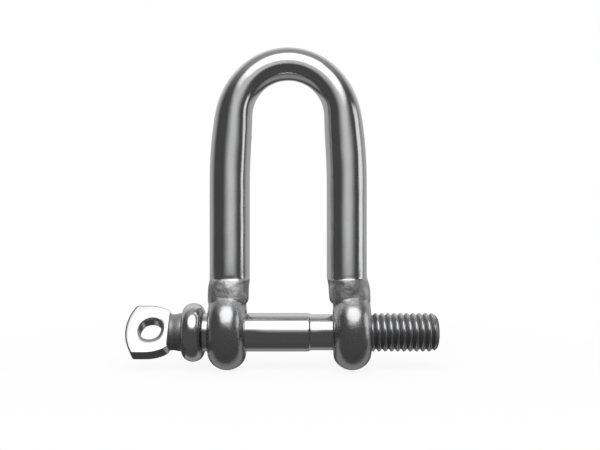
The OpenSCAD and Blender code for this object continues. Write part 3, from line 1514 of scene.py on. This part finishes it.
@dataclass
class Studio:
    """The camera, the floor and the soft light around the shackle."""

    floor_z: float
    camera_at: Axes = (2.35 * MM, -150.0 * MM, 21.44 * MM)
    lens: float = 45.0
    sensor: float = 36.0
    ambient: float = 0.5
    floor_w: float = 600.0 * MM
    floor_tone: Colour = (0.9, 0.9, 0.9)
    floor_glow: float = 0.9
    floor_fade: Point = (35.0 * MM, 110.0 * MM)
    flag_size: Point = (240.0 * MM, 40.0 * MM)
    flag_at: Axes = (0.0, -20.0 * MM, -10.0 * MM)
    flag_level: float = 0.09
    flag_fade: Point = (4.0 * MM, 12.0 * MM)
    flag_dip: float = 3.0 * MM
    flag_dip_half_w: Point = (5.0 * MM, 8.0 * MM)
    shade_size: Point = (12.0 * MM, 14.0 * MM)
    shade_x: float = -28.5 * MM
    shade_lift: float = 0.1 * MM
    shade_level: float = 0.06
    tent_r: float = 240.0 * MM
    tent_level: float = 0.08
    lamp_size: Point = (400.0 * MM, 300.0 * MM)
    lamp_level: float = 3.4
    lamp_way: Axes = (0.0, -0.6, 0.8)
    lamp_away: float = 400.0 * MM

    def build(self) -> None:
        """Sets up everything around the object."""
        self._camera()
        self._world()
        self._floor()
        self._tent()
        self._flag()
        self._head_shade()
        self._lamp()
        bpy.context.scene.view_settings.view_transform = "Standard"

    def _camera(self) -> None:
        """Puts the camera square in front of the bow."""
        data = bpy.data.cameras.new("camera")
        data.lens = self.lens
        data.sensor_width = self.sensor
        data.clip_start = 1 * MM
        camera = bpy.data.objects.new("camera", data)
        camera.location = self.camera_at
        camera.rotation_euler = (math.pi / 2, 0.0, 0.0)
        bpy.context.scene.collection.objects.link(camera)
        bpy.context.scene.camera = camera

    @staticmethod
    def _seen(sheet: Sheet) -> NodeSocket:
        """Finds the rays that show a surface, apart from those that only light another one.

        Args:
            sheet: The sheet of the surface.

        Returns:
            A mask that is 1 where the camera, a reflection or a refraction looks.
        """
        path = sheet.add("ShaderNodeLightPath").outputs
        seen = sheet.math("MAXIMUM", path["Is Camera Ray"], path["Is Glossy Ray"])
        return sheet.math("MAXIMUM", seen, path["Is Transmission Ray"])

    def _world(self) -> None:
        """A white backdrop that lights the object at a plain level."""
        world = bpy.data.worlds.new("backdrop")
        world.use_nodes = True
        sheet = Sheet(world.node_tree)
        strength = sheet.math("MULTIPLY_ADD", self._seen(sheet), 1.0 - self.ambient, self.ambient)
        back = {"Color": opaque(WHITE), "Strength": strength}
        surface = sheet.add("ShaderNodeBackground", back).outputs[0]
        sheet.add("ShaderNodeOutputWorld", {"Surface": surface})
        bpy.context.scene.world = world

    @staticmethod
    def _stage(name: str, mesh: BMesh, material: Material, card: bool = False) -> Object:
        """Adds a stage object.

        Args:
            name: Its name.
            mesh: Its bmesh, which is used up.
            material: Its finish.
            card: Whether only reflections see it.

        Returns:
            The stage object.
        """
        thing = new_object(name, mesh, material)
        if card:
            thing.visible_camera = False
            thing.visible_diffuse = False
            thing.visible_shadow = False
        return thing

    @staticmethod
    def _plate(size: Point, at: Axes, upright: bool = False) -> BMesh:
        """A rectangle as a bmesh.

        Args:
            size: Its width, and its depth or height.
            at: Its middle.
            upright: Whether it stands, facing the shackle, or lies level.

        Returns:
            The bmesh.
        """
        mesh = bmesh.new()
        stand = Matrix.Rotation(math.pi / 2 if upright else 0.0, 4, "X")
        place = Matrix.Translation(at) @ stand @ Matrix.Diagonal((*size, 1.0, 1.0))
        bmesh.ops.create_grid(mesh, x_segments=1, y_segments=1, size=0.5, matrix=place)
        return mesh

    def _floor(self) -> None:
        """A pale floor that keeps the shackle's shadow and fades into the backdrop."""
        material, sheet = new_material("pale_floor")
        matte = sheet.add("ShaderNodeBsdfDiffuse", {"Color": opaque(self.floor_tone)}).outputs[0]
        share = sheet.math("MULTIPLY", self._seen(sheet), self.floor_glow)
        pale = sheet.shaders(share, matte, sheet.glow(1.0))
        away = sheet.vector("LENGTH", sheet.place)["Value"]
        sheet.surface(sheet.faded(pale, sheet.rise(away, *self.floor_fade)))
        plate = self._plate((self.floor_w, self.floor_w), (0.0, 0.0, self.floor_z))
        self._stage("floor", plate, material).visible_glossy = False

    def _flag(self) -> None:
        """A low dark flag with a soft top, which keeps the front light off the eyes and the pin."""
        material, sheet = new_material("soft_flag")
        parts = sheet.axes(sheet.place)
        middle = sheet.fall(sheet.math("ABSOLUTE", parts["X"]), *self.flag_dip_half_w)
        height = sheet.math("MULTIPLY_ADD", middle, self.flag_dip, parts["Z"])
        fade = sheet.rise(height, *self.flag_fade)
        sheet.surface(sheet.faded(sheet.glow(self.flag_level), fade))
        plate = self._plate(self.flag_size, self.flag_at, upright=True)
        self._stage("soft_flag", plate, material, card=True)

    def _head_shade(self) -> None:
        """The dark floor under the pin's head, as the head's lower edge mirrors it."""
        material, sheet = new_material("head_shade")
        sheet.surface(sheet.glow(self.shade_level))
        plate = self._plate(self.shade_size, (self.shade_x, 0.0, self.floor_z + self.shade_lift))
        self._stage("head_shade", plate, material, card=True)

    @staticmethod
    def _soft_box(sheet: Sheet, tilt: NodeSocket, aside: NodeSocket) -> NodeSocket:
        """The soft box in front and above, as a round patch with a soft edge.

        Args:
            sheet: The tent's sheet.
            tilt: The angle up from straight ahead, in degrees.
            aside: The angle to the side, in degrees.

        Returns:
            The patch's mask.
        """
        low, middle, high = 24.5, 50.0, 78.0
        centre, half_w = 4.0, 33.0
        soft_edge = (0.75, 1.2)
        up = sheet.math("SUBTRACT", tilt, middle)
        above = sheet.math("DIVIDE", up, high - middle)
        below = sheet.math("DIVIDE", up, low - middle)
        reach = sheet.math("MAXIMUM", above, below)
        wide = sheet.math("DIVIDE", sheet.math("SUBTRACT", aside, centre), half_w)
        return sheet.fall(sheet.hypot(wide, reach), *soft_edge)

    def _tent(self) -> None:
        """A round tent of reflection cards, with a soft box in front and above and a dim back."""
        mesh = bmesh.new()
        bmesh.ops.create_uvsphere(mesh, u_segments=64, v_segments=32, radius=self.tent_r)
        material, sheet = new_material("reflection_tent")
        x, y, z = sheet.axes(sheet.vector("NORMALIZE", sheet.place)["Vector"])
        ahead = sheet.math("MULTIPLY", y, -1.0)
        tilt = sheet.math("DEGREES", sheet.math("ARCTAN2", z, ahead))
        azimuth = sheet.math("DEGREES", sheet.math("ARCTAN2", x, ahead))
        height = sheet.math("DEGREES", sheet.math("ARCSINE", z))
        aside = sheet.math("DEGREES", sheet.math("ARCSINE", x))
        key = self._soft_box(sheet, tilt, aside)
        fill = sheet.both(
            sheet.near(azimuth, middle=8.0, start=4.0, end=46.0),
            sheet.near(height, middle=14.0, start=10.0, end=24.0),
        )
        strip = sheet.both(
            sheet.near(azimuth, middle=84.5, start=8.0, end=18.0),
            sheet.near(height, middle=10.0, start=16.0, end=23.0),
        )
        top = sheet.both(sheet.rise(height, start=35.0, end=75.0), sheet.fall(y, start=-0.2, end=0.5))
        back = sheet.both(sheet.rise(y, start=-0.05, end=0.5), sheet.rise(height, start=-12.0, end=0.0))
        back_key = sheet.both(
            sheet.near(tilt, middle=136.0, start=10.0, end=26.0),
            sheet.near(aside, middle=0.0, start=25.0, end=50.0),
        )
        under = sheet.near(tilt, middle=-126.0, start=10.0, end=29.0)
        cards = (
            (back, 0.42),
            (key, 1.6),
            (fill, 0.64),
            (strip, 1.0),
            (top, 0.35),
            (back_key, 0.3),
            (under, 0.24),
        )
        level = self.tent_level
        for mask, strength in cards:
            level = sheet.math("MULTIPLY_ADD", mask, strength, level)
        sheet.surface(sheet.glow(level))
        self._stage("reflection_tent", mesh, material, card=True)

    def _lamp(self) -> None:
        """A large soft lamp above the camera, which casts the shadow on the floor."""
        data = bpy.data.lights.new("soft_lamp", "AREA")
        data.shape = "RECTANGLE"
        data.size, data.size_y = self.lamp_size
        data.energy = self.lamp_level * math.pi * data.size * data.size_y
        lamp = bpy.data.objects.new("soft_lamp", data)
        way = Vector(self.lamp_way)
        lamp.location = way * self.lamp_away
        lamp.rotation_euler = way.to_track_quat("Z", "Y").to_euler()
        lamp.visible_glossy = False
        bpy.context.scene.collection.objects.link(lamp)


def main() -> None:
    """Builds the studio and the shackle's pieces in order."""
    logging.basicConfig(level=logging.INFO, format="%(name)s: %(message)s")
    Studio(floor_z=CAD_BOX[0].z).build()
    effects = Effects()
    forged = POLISHED_FORGING.material(effects)
    turned = TURNED_PIN.material(effects)
    cut = CUT_THREAD.material(effects)
    pin = ScrewPin.from_frame()
    Bow.from_frame().build(forged, cut, pin.thread)
    pin.build(turned, cut)


if __name__ == "__main__":
    main()
